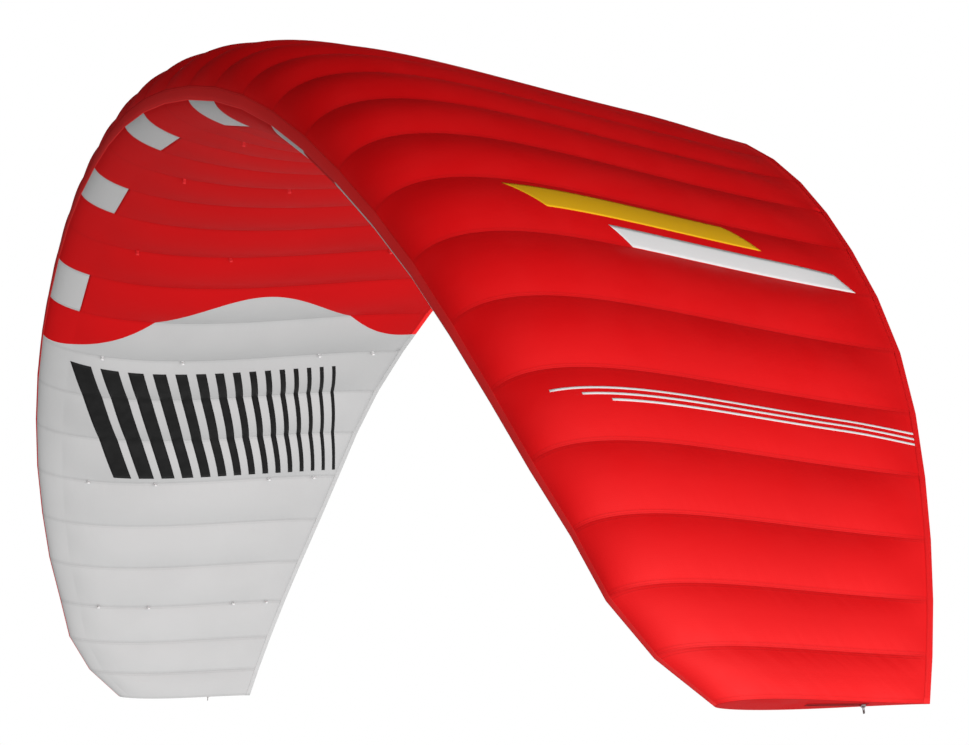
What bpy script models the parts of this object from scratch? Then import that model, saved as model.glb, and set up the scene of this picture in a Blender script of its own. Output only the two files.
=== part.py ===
"""Foil kite: an inflated wing of cloth cells, bent into an arch, in its flying shape.

The axes are +X towards one tip, +Y towards the trailing edge and +Z up. The origin lies on the
lower skin, in the middle cell, on the line where the bridle holds the wing.

A place along the wing is counted in cells from the -X tip, so the ribs stand at the whole
numbers. A place round a rib's outline is q: the chord share is q * q, on the upper side where
q is positive and on the lower side where it is negative, with the nose at 0.
"""

import math

import bmesh
import bpy
import numpy as np
from mathutils import Matrix, Vector

# The wing's plan and arch, in metres and degrees
CELLS = 33
CELLS_PER_BAY = 3
HALF_SPAN = 3.52
CENTRE_CHORD = 1.588
SPAN_SHARES = (0.0, 0.2, 0.4, 0.6, 0.75, 0.88, 0.966, 1.0)
CHORD_SHARES = (1.0, 0.963, 0.895, 0.798, 0.703, 0.562, 0.429, 0.326)
TRAILING_EDGE_SHARES = (0.428, 0.403, 0.359, 0.302, 0.263, 0.203, 0.157, 0.138)
ARCH_ANGLES = (0.0, 10.3, 23.1, 35.6, 50.2, 59.9, 69.5, 74.1)
TWIST_ANGLES = (1.9, 1.4, 1.4, 1.4, 1.5, 1.1, 0.8, 0.9)
CELL_SPAN_SHARES = (0.0, 0.5, 0.8, 1.0)
CELL_WIDTH_SHARES = (1.0, 1.0, 0.73, 0.40)
ARCH_STEPS = 400

# The ribs' outline, as shares of the chord, and where the panels have their corners
UPPER_CURVE_SHARES = (0.358, 0.173, 0.104)
LOWER_CURVE_SHARES = (0.196, 0.207, 0.032)
UPPER_STATION_SHARES = (0.0, 0.05, 0.12, 0.2, 0.3, 0.4, 0.5, 0.6, 0.7, 0.8, 0.9, 1.0)
LOWER_STATION_SHARES = (0.0, 0.08, 0.17, 0.27, 0.35, 0.45, 0.56, 0.66, 0.75, 0.83, 0.91, 1.0)
EDGE_THICKNESS = 0.003
NORMAL_STEP_SHARE = 0.0005
SHARP_ANGLE = 35

# How far a cell swells between its ribs, as a share of its width, and where that fades out
SWELL_SHARE = 0.085
SWELL_STEPS = 3
UPPER_SWELL_START_SHARE = 0.04
LOWER_SWELL_START_SHARE = 0.27
SWELL_FADE_SHARE = 0.3
SWELL_END_SHARE = 0.22

# Cloth panels and the gaps at their seams
CLOTH = 0.0005
SEAM_GAP = 0.0003
SKIN_SPLITS = (9, 24)

# Crossports, as shares of the chord and of the rib's depth there
PORT_PLACE_SHARES = (0.2, 0.42, 0.63)
PORT_LENGTH_SHARE = 0.055
PORT_HEIGHT_SHARE = 0.27
PORT_CORNERS = 6

# Attachment tabs of webbing on the loaded ribs
TAB_ROW_SHARES = {"a": 0.395, "b": 0.61, "c": 0.87}
BRAKE_ROW_SHARE = 0.955
BRAKE_RIBS = (3, 6, 9, 12, 21, 24, 27, 30)
TAB_WIDTH = 0.010
TAB_LENGTH = 0.016
TAB_CORNER = 0.003
SLIT_OVERRUN = 0.004

# Inlet windows and their valve flaps, in cells counted from a tip
INLET_CELLS = (11, 14, 17, 20, 23)
INLET_END_SHARE = 0.27
FLAP_START_SHARE = 0.10
FLAP_END_SHARE = 0.29
FLAP_SIDE_GAP = 0.004

# The tape that binds the trailing edge
TAPE_THICKNESS = 0.001

# The deflation zips on the tip ribs
ZIP_PLACE_SHARE = 0.56
ZIP_HEIGHT_SHARE = 0.5
ZIP_LENGTH = 0.150
ZIP_TAPE_WIDTH = 0.018
ZIP_TAPE_THICKNESS = 0.0006
ZIP_CHAIN_WIDTH = 0.005
ZIP_CHAIN_HEIGHT = 0.0018
ZIP_SLOT_WIDTH = 0.008
ZIP_SLOT_INSET = 0.006
SLIDER_LENGTH = 0.012
SLIDER_WALL = 0.0016
SLIDER_CLEARANCE = 0.0004
BRIDGE_WIDTH = 0.002
BRIDGE_THICKNESS = 0.0014
BRIDGE_RISE = 0.0026
BRIDGE_OVERLAP = 0.0004
PULL_WIDTH = 0.008
PULL_LENGTH = 0.016
PULL_THICKNESS = 0.0014
PULL_EYE_WIDTH = 0.004
PULL_EYE_LENGTH = 0.007
PULL_END_BAR = 0.0014
PULL_CORNER = 0.002

# Colours, as linear red, green and blue
RED_CLOTH = (0.55, 0.004, 0.006)
GREY_CLOTH = (0.62, 0.62, 0.62)
WHITE_NET = (0.60, 0.61, 0.61)
RIB_CLOTH = (0.75, 0.75, 0.74)
TIP_CLOTH = (0.30, 0.003, 0.005)
ZIP_TAPE = (0.02, 0.02, 0.02)
SLIDER_METAL = (0.50, 0.50, 0.51)


def clear_scene():
    for thing in list(bpy.data.objects):
        bpy.data.objects.remove(thing, do_unlink=True)


def material(name, colour, roughness, metallic=0.0):
    made = bpy.data.materials.new(name)
    made.use_nodes = True
    shader = made.node_tree.nodes["Principled BSDF"]
    shader.inputs["Base Color"].default_value = (*colour, 1.0)
    shader.inputs["Roughness"].default_value = roughness
    shader.inputs["Metallic"].default_value = metallic
    return made


def smooth(places, values, at, level_start=True):
    """A smooth curve through the values, read at the places given."""
    places = np.asarray(places, float)
    values = np.asarray(values, float)
    run = np.diff(places)
    rise = np.diff(values) / run
    slope = np.empty_like(values)
    slope[1:-1] = (rise[:-1] * run[1:] + rise[1:] * run[:-1]) / (run[1:] + run[:-1])
    slope[0] = 0.0 if level_start else 2 * rise[0] - slope[1]
    slope[-1] = 2 * rise[-1] - slope[-2]
    i = np.clip(np.searchsorted(places, at, side="right") - 1, 0, len(run) - 1)
    t = (at - places[i]) / run[i]
    rest = values[i] * (2 * t**3 - 3 * t**2 + 1) + values[i + 1] * (3 * t**2 - 2 * t**3)
    return rest + run[i] * (slope[i] * (t**3 - 2 * t**2 + t) + slope[i + 1] * (t**3 - t**2))


def rib_distances():
    """Each rib's distance from the wing's middle, measured along the arch."""
    middles = (np.arange(CELLS) + 0.5) / (CELLS / 2) - 1
    widths = smooth(CELL_SPAN_SHARES, CELL_WIDTH_SHARES, np.abs(middles))
    widths *= 2 * HALF_SPAN / widths.sum()
    return np.concatenate([[0.0], np.cumsum(widths)]) - HALF_SPAN


class Rib:
    """One rib's plane: where it stands and which way its chord, its depth and its side point."""

    def __init__(self, distance):
        share = abs(distance) / HALF_SPAN
        fine = np.linspace(0, 1, ARCH_STEPS + 1)
        angles = np.radians(smooth(SPAN_SHARES, ARCH_ANGLES, fine, level_start=False))
        step = HALF_SPAN / ARCH_STEPS
        out = np.concatenate([[0.0], np.cumsum(np.cos(angles[1:]) + np.cos(angles[:-1]))]) * step / 2
        down = np.concatenate([[0.0], np.cumsum(np.sin(angles[1:]) + np.sin(angles[:-1]))]) * step / 2
        side = math.copysign(1, distance)
        angle = side * float(np.interp(share, fine, angles))
        twist = math.radians(float(smooth(SPAN_SHARES, TWIST_ANGLES, share)))
        self.chord = CENTRE_CHORD * float(smooth(SPAN_SHARES, CHORD_SHARES, share))
        edge = CENTRE_CHORD * float(smooth(SPAN_SHARES, TRAILING_EDGE_SHARES, share))
        normal = Vector((math.sin(angle), 0, math.cos(angle)))
        back = Vector((0, 1, 0))
        self.back = back * math.cos(twist) - normal * math.sin(twist)
        self.up = back * math.sin(twist) + normal * math.cos(twist)
        self.side = Vector((math.cos(angle), 0, -math.sin(angle)))
        middle = Vector((
            side * float(np.interp(share, fine, out)),
            edge - self.chord / 2 * math.cos(twist),
            -float(np.interp(share, fine, down)),
        ))
        self.nose = middle - self.back * self.chord / 2

    def place(self, along, height):
        return self.nose + self.back * along + self.up * height

    def outline(self, q):
        """The outline's place at q in the rib's plane, as metres along the chord and up."""
        x = q * q
        first, second, third = UPPER_CURVE_SHARES if q >= 0 else LOWER_CURVE_SHARES
        curve = first * (1 - x) ** 2 + 2 * second * x * (1 - x) + third * x * x
        edge = math.copysign(EDGE_THICKNESS / 2, q) * x
        return Vector((x * self.chord, q * (1 - x) * curve * self.chord + edge))

    def outward(self, q):
        """The outline's outward direction at q in the rib's plane."""
        ahead = self.outline(q + NORMAL_STEP_SHARE) - self.outline(q - NORMAL_STEP_SHARE)
        return Vector((-ahead.y, ahead.x)).normalized()

    def point(self, q, depth):
        """A point under the outline at q by this depth."""
        flat = self.outline(q) - self.outward(q) * depth
        return self.place(flat.x, flat.y)


RIBS = [Rib(distance) for distance in rib_distances()]
CELL_WIDTHS = np.diff(rib_distances())
LOADED_RIBS = range(CELLS_PER_BAY, CELLS, CELLS_PER_BAY)


def swell(q):
    """How much of a cell's full swell is left at q: none at the nose and the trailing edge."""
    start = UPPER_SWELL_START_SHARE if q >= 0 else LOWER_SWELL_START_SHARE
    rise = min(max((abs(q) - start) / SWELL_FADE_SHARE, 0.0), 1.0)
    fall = min((1 - q * q) / SWELL_END_SHARE, 1.0)
    return math.sin(rise * math.pi / 2) * math.sin(fall * math.pi / 2)


def flat_point(place, q, depth, lift=0.0):
    """A point on the straight line between two ribs, this deep under the outline."""
    cell = min(max(int(math.floor(place)), 0), CELLS - 1)
    near, far = RIBS[cell], RIBS[cell + 1]
    ends = near.point(q, depth).lerp(far.point(q, depth), place - cell)
    return ends + near.up.lerp(far.up, place - cell) * lift


def skin_point(place, q, depth, lift=0.0):
    """A point of the swollen skin, this deep under its outer side."""
    cell = min(max(int(math.floor(place)), 0), CELLS - 1)
    share = place - cell
    out = Vector()
    for rib in (RIBS[cell], RIBS[cell + 1]):
        flat = rib.outward(q)
        out += rib.back * flat.x + rib.up * flat.y
    swollen = SWELL_SHARE * CELL_WIDTHS[cell] * 4 * share * (1 - share) * swell(q)
    return flat_point(place, q, depth, lift) + out.normalized() * swollen


def facet_point(place, q, depth, point=flat_point):
    """A point on the straight line between the stations on both sides of q."""
    stations = UPPER_STATION_SHARES if q >= 0 else LOWER_STATION_SHARES
    sign = 1 if q >= 0 else -1
    last = max(i for i, share in enumerate(stations[:-1]) if share <= abs(q))
    near, far = stations[last], stations[last + 1]
    step = (abs(q) - near) / (far - near)
    return point(place, sign * near, depth).lerp(point(place, sign * far, depth), step)


def rib_point(place, q, depth):
    return RIBS[place].point(q, depth)


HOLD_POINT = skin_point(CELLS / 2, -TAB_ROW_SHARES["b"], 0.0)


def new_object(name, mesh, made_of, smooth_faces=True):
    """Gives the mesh an object in the frame whose origin is the hold point."""
    thing = bpy.data.objects.new(name, mesh)
    bpy.context.scene.collection.objects.link(thing)
    mesh.materials.append(made_of)
    mesh.transform(Matrix.Translation(-HOLD_POINT))
    if smooth_faces:
        mesh.shade_smooth()
        mesh.set_sharp_from_angle(angle=math.radians(SHARP_ANGLE))
    return thing


def set_origin(thing, point):
    """Moves the object's origin to a point of its joint's axis and leaves its shape in place."""
    thing.data.transform(Matrix.Translation(-point))
    thing.location = point


def mesh_of(name, build):
    """A new mesh from a bmesh that the function fills, with its faces turned out."""
    mesh = bpy.data.meshes.new(name)
    bm = bmesh.new()
    build(bm)
    bmesh.ops.recalc_face_normals(bm, faces=bm.faces)
    bm.to_mesh(mesh)
    bm.free()
    return mesh


def thick_grid(name, rows, columns, corner, thickness_ends, kept=None):
    """A closed sheet over a grid: corner(row, column, depth) gives each point."""
    kept = kept or (lambda row, column: True)
    cells = {
        (i, j)
        for i in range(len(rows) - 1)
        for j in range(len(columns) - 1)
        if kept(i, j)
    }

    def build(bm):
        made = {}

        def vertex(i, j, layer):
            key = (i, j, layer)
            if key not in made:
                made[key] = bm.verts.new(corner(rows[i], columns[j], thickness_ends[layer]))
            return made[key]

        for i, j in sorted(cells):
            ring = ((i, j), (i + 1, j), (i + 1, j + 1), (i, j + 1))
            # Both layers are split along the same diagonal, so they stay a thickness apart.
            for corners in (ring[:3], (ring[0], ring[2], ring[3])):
                bm.faces.new([vertex(*at, 0) for at in corners])
                bm.faces.new([vertex(*at, 1) for at in reversed(corners)])
            beside = ((i, j - 1), (i + 1, j), (i, j + 1), (i - 1, j))
            for k, neighbour in enumerate(beside):
                if neighbour not in cells:
                    a, b = ring[k], ring[(k + 1) % 4]
                    bm.faces.new([vertex(*b, 0), vertex(*a, 0), vertex(*a, 1), vertex(*b, 1)])

    return mesh_of(name, build)


def plate(name, outline, holes, thickness, frame):
    """A flat plate with holes: frame(x, y, z) places the outline's plane, z from 0 to the thickness."""

    def build(bm):
        edges = []
        for loop in (outline, *holes):
            ring = [bm.verts.new(frame(x, y, 0.0)) for x, y in loop]
            edges += [bm.edges.new((ring[k - 1], ring[k])) for k in range(len(ring))]
        bmesh.ops.triangle_fill(bm, edges=edges, use_beauty=True)
        sides = bmesh.ops.extrude_face_region(bm, geom=bm.faces[:])
        grown = [part for part in sides["geom"] if isinstance(part, bmesh.types.BMVert)]
        bmesh.ops.translate(bm, verts=grown, vec=frame(0, 0, thickness) - frame(0, 0, 0))

    return mesh_of(name, build)


def boolean(thing, other, operation):
    """Joins or cuts with another object, which stays as a hidden guide."""
    other.hide_render = True
    other.display_type = "WIRE"
    made = thing.modifiers.new(operation.lower(), "BOOLEAN")
    made.operation = operation
    made.object = other
    made.solver = "EXACT"


def cell_places(first, last, inset_first, inset_last):
    """Places across whole cells, with the two ends drawn in by these lengths."""
    steps = [first + k / SWELL_STEPS for k in range((last - first) * SWELL_STEPS + 1)]
    steps[0] += inset_first / CELL_WIDTHS[first]
    steps[-1] -= inset_last / CELL_WIDTHS[last - 1]
    return steps


def skin_limits():
    """The skins' three stretches: name, first rib, last rib and how far each end is drawn in."""
    left, right = SKIN_SPLITS
    seam = SEAM_GAP / 2
    tip = -CLOTH / 2
    return (
        ("left", 0, left, tip, seam),
        ("centre", left, right, seam, seam),
        ("right", right, CELLS, seam, tip),
    )


def upper_corner(place, share, depth):
    return skin_point(place, share, depth, SEAM_GAP / 2 if share == 0 else 0.0)


def upper_skins(cloth):
    for name, first, last, inset_first, inset_last in skin_limits():
        places = cell_places(first, last, inset_first, inset_last)
        mesh = thick_grid("upper_skin", places, UPPER_STATION_SHARES, upper_corner, (0.0, CLOTH))
        new_object(f"upper_skin_{name}", mesh, cloth)


def lower_corner(place, share, depth):
    return skin_point(place, -share, depth, -SEAM_GAP / 2 if share == 0 else 0.0)


def tab_rows(rib):
    rows = list(TAB_ROW_SHARES.values()) if rib in LOADED_RIBS else []
    if rib in BRAKE_RIBS:
        rows.append(BRAKE_ROW_SHARE)
    return rows


def tab_foot(rib, share, depth):
    """The middle of a tab's foot on the rib's lower edge, and the edge's direction towards the nose."""
    middle = facet_point(rib, -share, depth, rib_point)
    ahead = facet_point(rib, -share + NORMAL_STEP_SHARE, depth, rib_point) - middle
    return middle, ahead.normalized()


def slit_cutter(name, ribs, cloth):
    """One guide that holds a box at each tab, to cut the slits in a lower skin."""

    def build(bm):
        for rib in ribs:
            side = RIBS[rib].side
            for share in tab_rows(rib):
                middle, ahead = tab_foot(rib, share, 0.0)
                across = ahead.cross(side)
                turn = Matrix((ahead, side, across)).transposed().to_4x4()
                size = Matrix.Diagonal((
                    TAB_WIDTH + 2 * SEAM_GAP, CLOTH + 2 * SEAM_GAP, 2 * SLIT_OVERRUN, 1,
                ))
                bmesh.ops.create_cube(bm, size=1, matrix=Matrix.Translation(middle) @ turn @ size)

    return new_object(name, mesh_of(name, build), cloth, smooth_faces=False)


def lower_skins(cloth_of):
    inlet_columns = range(LOWER_STATION_SHARES.index(INLET_END_SHARE))
    for name, first, last, inset_first, inset_last in skin_limits():

        def kept(row, column, first=first):
            return first + row // SWELL_STEPS + 1 not in INLET_CELLS or column not in inlet_columns

        places = cell_places(first, last, inset_first, inset_last)
        mesh = thick_grid("lower_skin", places, LOWER_STATION_SHARES, lower_corner, (0.0, CLOTH), kept)
        skin = new_object(f"lower_skin_{name}", mesh, cloth_of[name])
        ribs = [rib for rib in LOADED_RIBS if first <= rib <= last]
        boolean(skin, slit_cutter(f"slits_{name}", ribs, cloth_of[name]), "DIFFERENCE")


def inlet_windows(net):
    stations = LOWER_STATION_SHARES[: LOWER_STATION_SHARES.index(INLET_END_SHARE) + 1]
    for cell in INLET_CELLS:
        rib = RIBS[cell - 1]
        end = INLET_END_SHARE - SEAM_GAP / (2 * INLET_END_SHARE * rib.chord)
        places = cell_places(cell - 1, cell, SEAM_GAP, SEAM_GAP)
        columns = (*stations[:-1], end)
        mesh = thick_grid("inlet_window", places, columns, lower_corner, (0.0, CLOTH))
        new_object(f"inlet_window_{cell}", mesh, net)


def valve_flaps(cloth):
    inner = [s for s in LOWER_STATION_SHARES if FLAP_START_SHARE < s < FLAP_END_SHARE]
    columns = (FLAP_START_SHARE, *inner, FLAP_END_SHARE)
    depths = (CLOTH + SEAM_GAP, 2 * CLOTH + SEAM_GAP)
    corner = lambda place, share, depth: facet_point(place, -share, depth)
    for cell in INLET_CELLS:
        side = FLAP_SIDE_GAP
        places = cell_places(cell - 1, cell, side, side)
        mesh = thick_grid("valve_flap", places, columns, corner, depths)
        flap = new_object(f"valve_flap_{cell}", mesh, cloth)
        hinge = corner(cell - 0.5, FLAP_START_SHARE, sum(depths) / 2)
        set_origin(flap, hinge - HOLD_POINT)


def rounded_tab(rib, share, depth):
    """A tab's corners in the rib's plane, walked from the nose's side to the trailing edge's."""
    plane = RIBS[rib]
    middle, ahead = tab_foot(rib, share, depth)
    out = -ahead.cross(plane.side)
    if out.dot(plane.up) > 0:
        out = -out
    half, reach = TAB_WIDTH / 2, TAB_LENGTH + depth
    corners = (
        (half, 0.0),
        (half, reach - TAB_CORNER),
        (half - TAB_CORNER, reach),
        (TAB_CORNER - half, reach),
        (-half, reach - TAB_CORNER),
        (-half, 0.0),
    )
    points = [middle + ahead * a + out * b - plane.nose for a, b in corners]
    return [(point.dot(plane.back), point.dot(plane.up)) for point in points]


def rib_outline(rib):
    """The rib's corners in its own plane: back over the top, and forward along the lower edge."""
    plane = RIBS[rib]
    depth = CLOTH + SEAM_GAP
    corners = [plane.outline(q) - plane.outward(q) * depth for q in UPPER_STATION_SHARES]
    lower = [(share, None) for share in LOWER_STATION_SHARES[1:]]
    lower += [(share, rounded_tab(rib, share, depth)) for share in tab_rows(rib)]
    outline = [tuple(corner) for corner in corners]
    for share, tab in sorted(lower, key=lambda entry: entry[0], reverse=True):
        if tab:
            outline += reversed(tab)
        else:
            outline.append(tuple(plane.outline(-share) - plane.outward(-share) * depth))
    return outline


def port(plane, share):
    """One crossport's corners, level with the middle of the rib's depth."""
    q = math.sqrt(share)
    top, bottom = plane.outline(q).y, plane.outline(-q).y
    corners = []
    for k in range(PORT_CORNERS):
        angle = 2 * math.pi * (k + 0.5) / PORT_CORNERS
        x = share * plane.chord + PORT_LENGTH_SHARE * plane.chord * math.cos(angle)
        y = (top + bottom) / 2 + PORT_HEIGHT_SHARE * (top - bottom) * math.sin(angle)
        corners.append((x, y))
    return corners


def zip_frame(rib, outward):
    """The zip's own axes on a tip rib: u towards the trailing edge, v across it, w out of the tip."""
    plane = RIBS[rib]
    q = math.sqrt(ZIP_PLACE_SHARE)
    top, bottom = plane.outline(q).y, plane.outline(-q).y
    height = bottom + ZIP_HEIGHT_SHARE * (top - bottom)
    surface = plane.side * outward * CLOTH / 2

    def frame(u, v, w):
        point = plane.place(ZIP_PLACE_SHARE * plane.chord + u, height + v)
        return point + surface + plane.side * outward * w

    return frame, height


def zip_slot(rib, height):
    half, inset = ZIP_LENGTH / 2 - ZIP_SLOT_INSET, ZIP_SLOT_WIDTH / 2
    x = ZIP_PLACE_SHARE * RIBS[rib].chord
    return [
        (x - half, height - inset),
        (x + half, height - inset),
        (x + half, height + inset),
        (x - half, height + inset),
    ]


def ribs(rib_cloth, tip_cloth):
    for rib, plane in enumerate(RIBS):
        tip = rib in (0, CELLS)
        if tip:
            outward = -1 if rib == 0 else 1
            holes = [zip_slot(rib, zip_frame(rib, outward)[1])]
        else:
            holes = [port(plane, share) for share in PORT_PLACE_SHARES]
        flat = lambda x, y, z, plane=plane: plane.place(x, y) + plane.side * (z - CLOTH / 2)
        name = {0: "tip_rib_left", CELLS: "tip_rib_right"}.get(rib, f"rib_{rib:02d}")
        mesh = plate(name, rib_outline(rib), holes, CLOTH, flat)
        new_object(name, mesh, tip_cloth if tip else rib_cloth, smooth_faces=False)


def trailing_edge_tape(cloth):
    """A strip behind both skins, as high as the trailing edge is thick."""
    half = EDGE_THICKNESS / 2

    def corner(rib, height, depth):
        plane = RIBS[rib]
        back = plane.chord + SEAM_GAP + depth
        return plane.place(back, height)

    mesh = thick_grid(
        "trailing_edge_tape", range(CELLS + 1), (-half, half), corner, (0.0, TAPE_THICKNESS)
    )
    new_object("trailing_edge_tape", mesh, cloth)


def ledge(levels):
    """A closed outline, mirrored in v, from its half: pairs of v and w from the top down."""
    return [(v, w) for v, w in levels] + [(-v, w) for v, w in reversed(levels)]


def zip_parts(name, rib, outward, tape_cloth, metal):
    """One zip: its tape with the chain, its slider and the pull that hangs in the slider's bridge."""
    frame = zip_frame(rib, outward)[0]
    along = lambda start: lambda v, w, u: frame(start + u, v, w)

    tape_top = SEAM_GAP + ZIP_TAPE_THICKNESS
    chain_top = tape_top + ZIP_CHAIN_HEIGHT
    section = ledge([
        (ZIP_CHAIN_WIDTH / 2, chain_top),
        (ZIP_CHAIN_WIDTH / 2, tape_top),
        (ZIP_TAPE_WIDTH / 2, tape_top),
        (ZIP_TAPE_WIDTH / 2, SEAM_GAP),
    ])
    mesh = plate("deflate_zip", section, (), ZIP_LENGTH, along(-ZIP_LENGTH / 2))
    new_object(f"deflate_zip_{name}", mesh, tape_cloth, smooth_faces=False)

    inner_half = ZIP_CHAIN_WIDTH / 2 + SLIDER_CLEARANCE
    roof = chain_top + SLIDER_CLEARANCE
    top = roof + SLIDER_WALL
    middle = ZIP_LENGTH / 2 - SLIDER_LENGTH
    section = ledge([
        (inner_half + SLIDER_WALL, top),
        (inner_half + SLIDER_WALL, tape_top + SLIDER_CLEARANCE),
        (inner_half, tape_top + SLIDER_CLEARANCE),
        (inner_half, roof),
    ])
    mesh = plate("zip_slider", section, (), SLIDER_LENGTH, along(middle - SLIDER_LENGTH / 2))
    slider = new_object(f"zip_slider_{name}", mesh, metal, smooth_faces=False)

    reach = SLIDER_LENGTH / 2 - BRIDGE_OVERLAP
    foot, under = top - BRIDGE_OVERLAP, top + BRIDGE_RISE
    arch = [
        (-reach, foot),
        (-reach, under + BRIDGE_THICKNESS),
        (reach, under + BRIDGE_THICKNESS),
        (reach, foot),
        (reach - BRIDGE_THICKNESS, foot),
        (reach - BRIDGE_THICKNESS, under),
        (BRIDGE_THICKNESS - reach, under),
        (BRIDGE_THICKNESS - reach, foot),
    ]
    upright = lambda u, w, v: frame(middle + u, v - BRIDGE_WIDTH / 2, w)
    mesh = plate("slider_bridge", arch, (), BRIDGE_WIDTH, upright)
    bridge = new_object(f"slider_bridge_{name}", mesh, metal, smooth_faces=False)
    boolean(slider, bridge, "UNION")

    level = top + BRIDGE_RISE / 2
    half, eye = PULL_WIDTH / 2, PULL_EYE_WIDTH / 2
    start = -PULL_END_BAR / 2
    outline = [
        (start, -half),
        (start + PULL_LENGTH - PULL_CORNER, -half),
        (start + PULL_LENGTH, PULL_CORNER - half),
        (start + PULL_LENGTH, half - PULL_CORNER),
        (start + PULL_LENGTH - PULL_CORNER, half),
        (start, half),
    ]
    end = PULL_EYE_LENGTH - start
    hole = [(-start, -eye), (end, -eye), (end, eye), (-start, eye)]
    hanging = lambda w, v, u: frame(middle + u - PULL_THICKNESS / 2, v, level + w)
    mesh = plate("zip_pull", outline, (hole,), PULL_THICKNESS, hanging)
    pull = new_object(f"zip_pull_{name}", mesh, metal, smooth_faces=False)
    set_origin(pull, frame(middle, 0.0, level) - HOLD_POINT)


def main():
    clear_scene()
    red = material("red_cloth", RED_CLOTH, 0.42)
    grey = material("grey_cloth", GREY_CLOTH, 0.45)
    net = material("inlet_net", WHITE_NET, 0.6)
    rib_cloth = material("rib_cloth", RIB_CLOTH, 0.5)
    tip_cloth = material("tip_cloth", TIP_CLOTH, 0.45)
    zip_tape = material("zip_tape", ZIP_TAPE, 0.7)
    metal = material("slider_metal", SLIDER_METAL, 0.35, 1.0)

    upper_skins(red)
    lower_skins({"left": grey, "centre": red, "right": grey})
    inlet_windows(net)
    valve_flaps(grey)
    ribs(rib_cloth, tip_cloth)
    trailing_edge_tape(red)
    zip_parts("left", 0, -1, zip_tape, metal)
    zip_parts("right", CELLS, 1, zip_tape, metal)


main()
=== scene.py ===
"""The looks of the foil kite: cloth, seams, nets, prints, webbing loops and zips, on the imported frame.

A place along the wing is counted in cells from the -X tip, so the ribs stand at the whole
numbers. A place round the outline is q: the chord share is q * q, on the upper side where q is
positive and on the lower side where it is negative, with the nose at 0.
"""

import math

import bmesh
import bpy
import numpy as np
from mathutils import Matrix, Vector


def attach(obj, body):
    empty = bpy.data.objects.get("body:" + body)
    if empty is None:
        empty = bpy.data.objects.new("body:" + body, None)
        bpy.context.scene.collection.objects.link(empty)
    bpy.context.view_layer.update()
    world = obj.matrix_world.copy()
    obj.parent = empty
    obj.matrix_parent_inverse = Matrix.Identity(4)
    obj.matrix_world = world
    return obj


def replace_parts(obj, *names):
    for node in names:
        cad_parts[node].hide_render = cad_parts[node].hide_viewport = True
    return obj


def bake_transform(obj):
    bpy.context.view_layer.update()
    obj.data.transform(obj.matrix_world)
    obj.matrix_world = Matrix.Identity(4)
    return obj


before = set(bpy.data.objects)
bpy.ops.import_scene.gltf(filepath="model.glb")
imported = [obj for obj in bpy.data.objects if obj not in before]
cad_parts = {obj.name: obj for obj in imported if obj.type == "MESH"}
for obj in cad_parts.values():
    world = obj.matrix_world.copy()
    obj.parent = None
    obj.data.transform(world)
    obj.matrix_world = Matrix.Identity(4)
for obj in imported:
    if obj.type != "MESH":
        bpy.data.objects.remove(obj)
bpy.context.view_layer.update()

# The wing's plan, arch and outline, as in the part's own source
CELLS = 33
HALF_SPAN = 3.52
CENTRE_CHORD = 1.588
SPAN_SHARES = (0.0, 0.2, 0.4, 0.6, 0.75, 0.88, 0.966, 1.0)
CHORD_SHARES = (1.0, 0.963, 0.895, 0.798, 0.703, 0.562, 0.429, 0.326)
TRAILING_EDGE_SHARES = (0.428, 0.403, 0.359, 0.302, 0.263, 0.203, 0.157, 0.138)
ARCH_ANGLES = (0.0, 10.3, 23.1, 35.6, 50.2, 59.9, 69.5, 74.1)
TWIST_ANGLES = (1.9, 1.4, 1.4, 1.4, 1.5, 1.1, 0.8, 0.9)
CELL_SPAN_SHARES = (0.0, 0.5, 0.8, 1.0)
CELL_WIDTH_SHARES = (1.0, 1.0, 0.73, 0.40)
ARCH_STEPS = 400
UPPER_CURVE_SHARES = (0.358, 0.173, 0.104)
LOWER_CURVE_SHARES = (0.196, 0.207, 0.032)
EDGE_THICKNESS = 0.003
NORMAL_STEP_SHARE = 0.0005
SWELL_SHARE = 0.085
UPPER_SWELL_START_SHARE = 0.04
LOWER_SWELL_START_SHARE = 0.27
SWELL_FADE_SHARE = 0.3
SWELL_END_SHARE = 0.22
CLOTH = 0.0005
SEAM_GAP = 0.0003
SKINS = {"left": (0, 9), "centre": (9, 24), "right": (24, 33)}
INLET_CELLS = (11, 14, 17, 20, 23)
INLET_END_SHARE = 0.27
FLAP_START_SHARE = 0.10
FLAP_END_SHARE = 0.29
FLAP_SIDE_GAP = 0.004
FLAP_BEND_SHARE = 0.03
PORT_PLACE_SHARES = (0.2, 0.42, 0.63)
PORT_LENGTH_SHARE = 0.055
PORT_HEIGHT_SHARE = 0.27
TAB_ROW_SHARES = {"front": 0.395, "middle": 0.61, "rear": 0.87, "brake": 0.955}
LOADED_RIBS = range(3, CELLS, 3)
BRAKE_RIBS = (3, 6, 9, 12, 21, 24, 27, 30)
TAB_WIDTH = 0.010
TAB_LENGTH = 0.016
ZIP_PLACE_SHARE = 0.56
ZIP_HEIGHT_SHARE = 0.5
ZIP_LENGTH = 0.150
ZIP_TAPE_WIDTH = 0.018
ZIP_TAPE_THICKNESS = 0.0006
ZIP_CHAIN_WIDTH = 0.005
ZIP_CHAIN_HEIGHT = 0.0018
SLIDER_LENGTH = 0.012
SLIDER_WALL = 0.0016
SLIDER_CLEARANCE = 0.0004
BRIDGE_WIDTH = 0.002
BRIDGE_THICKNESS = 0.0014
BRIDGE_RISE = 0.0026
PULL_WIDTH = 0.008
PULL_LENGTH = 0.016
PULL_THICKNESS = 0.0014
PULL_EYE_WIDTH = 0.004
PULL_EYE_LENGTH = 0.007
PULL_END_BAR = 0.0014

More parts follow.
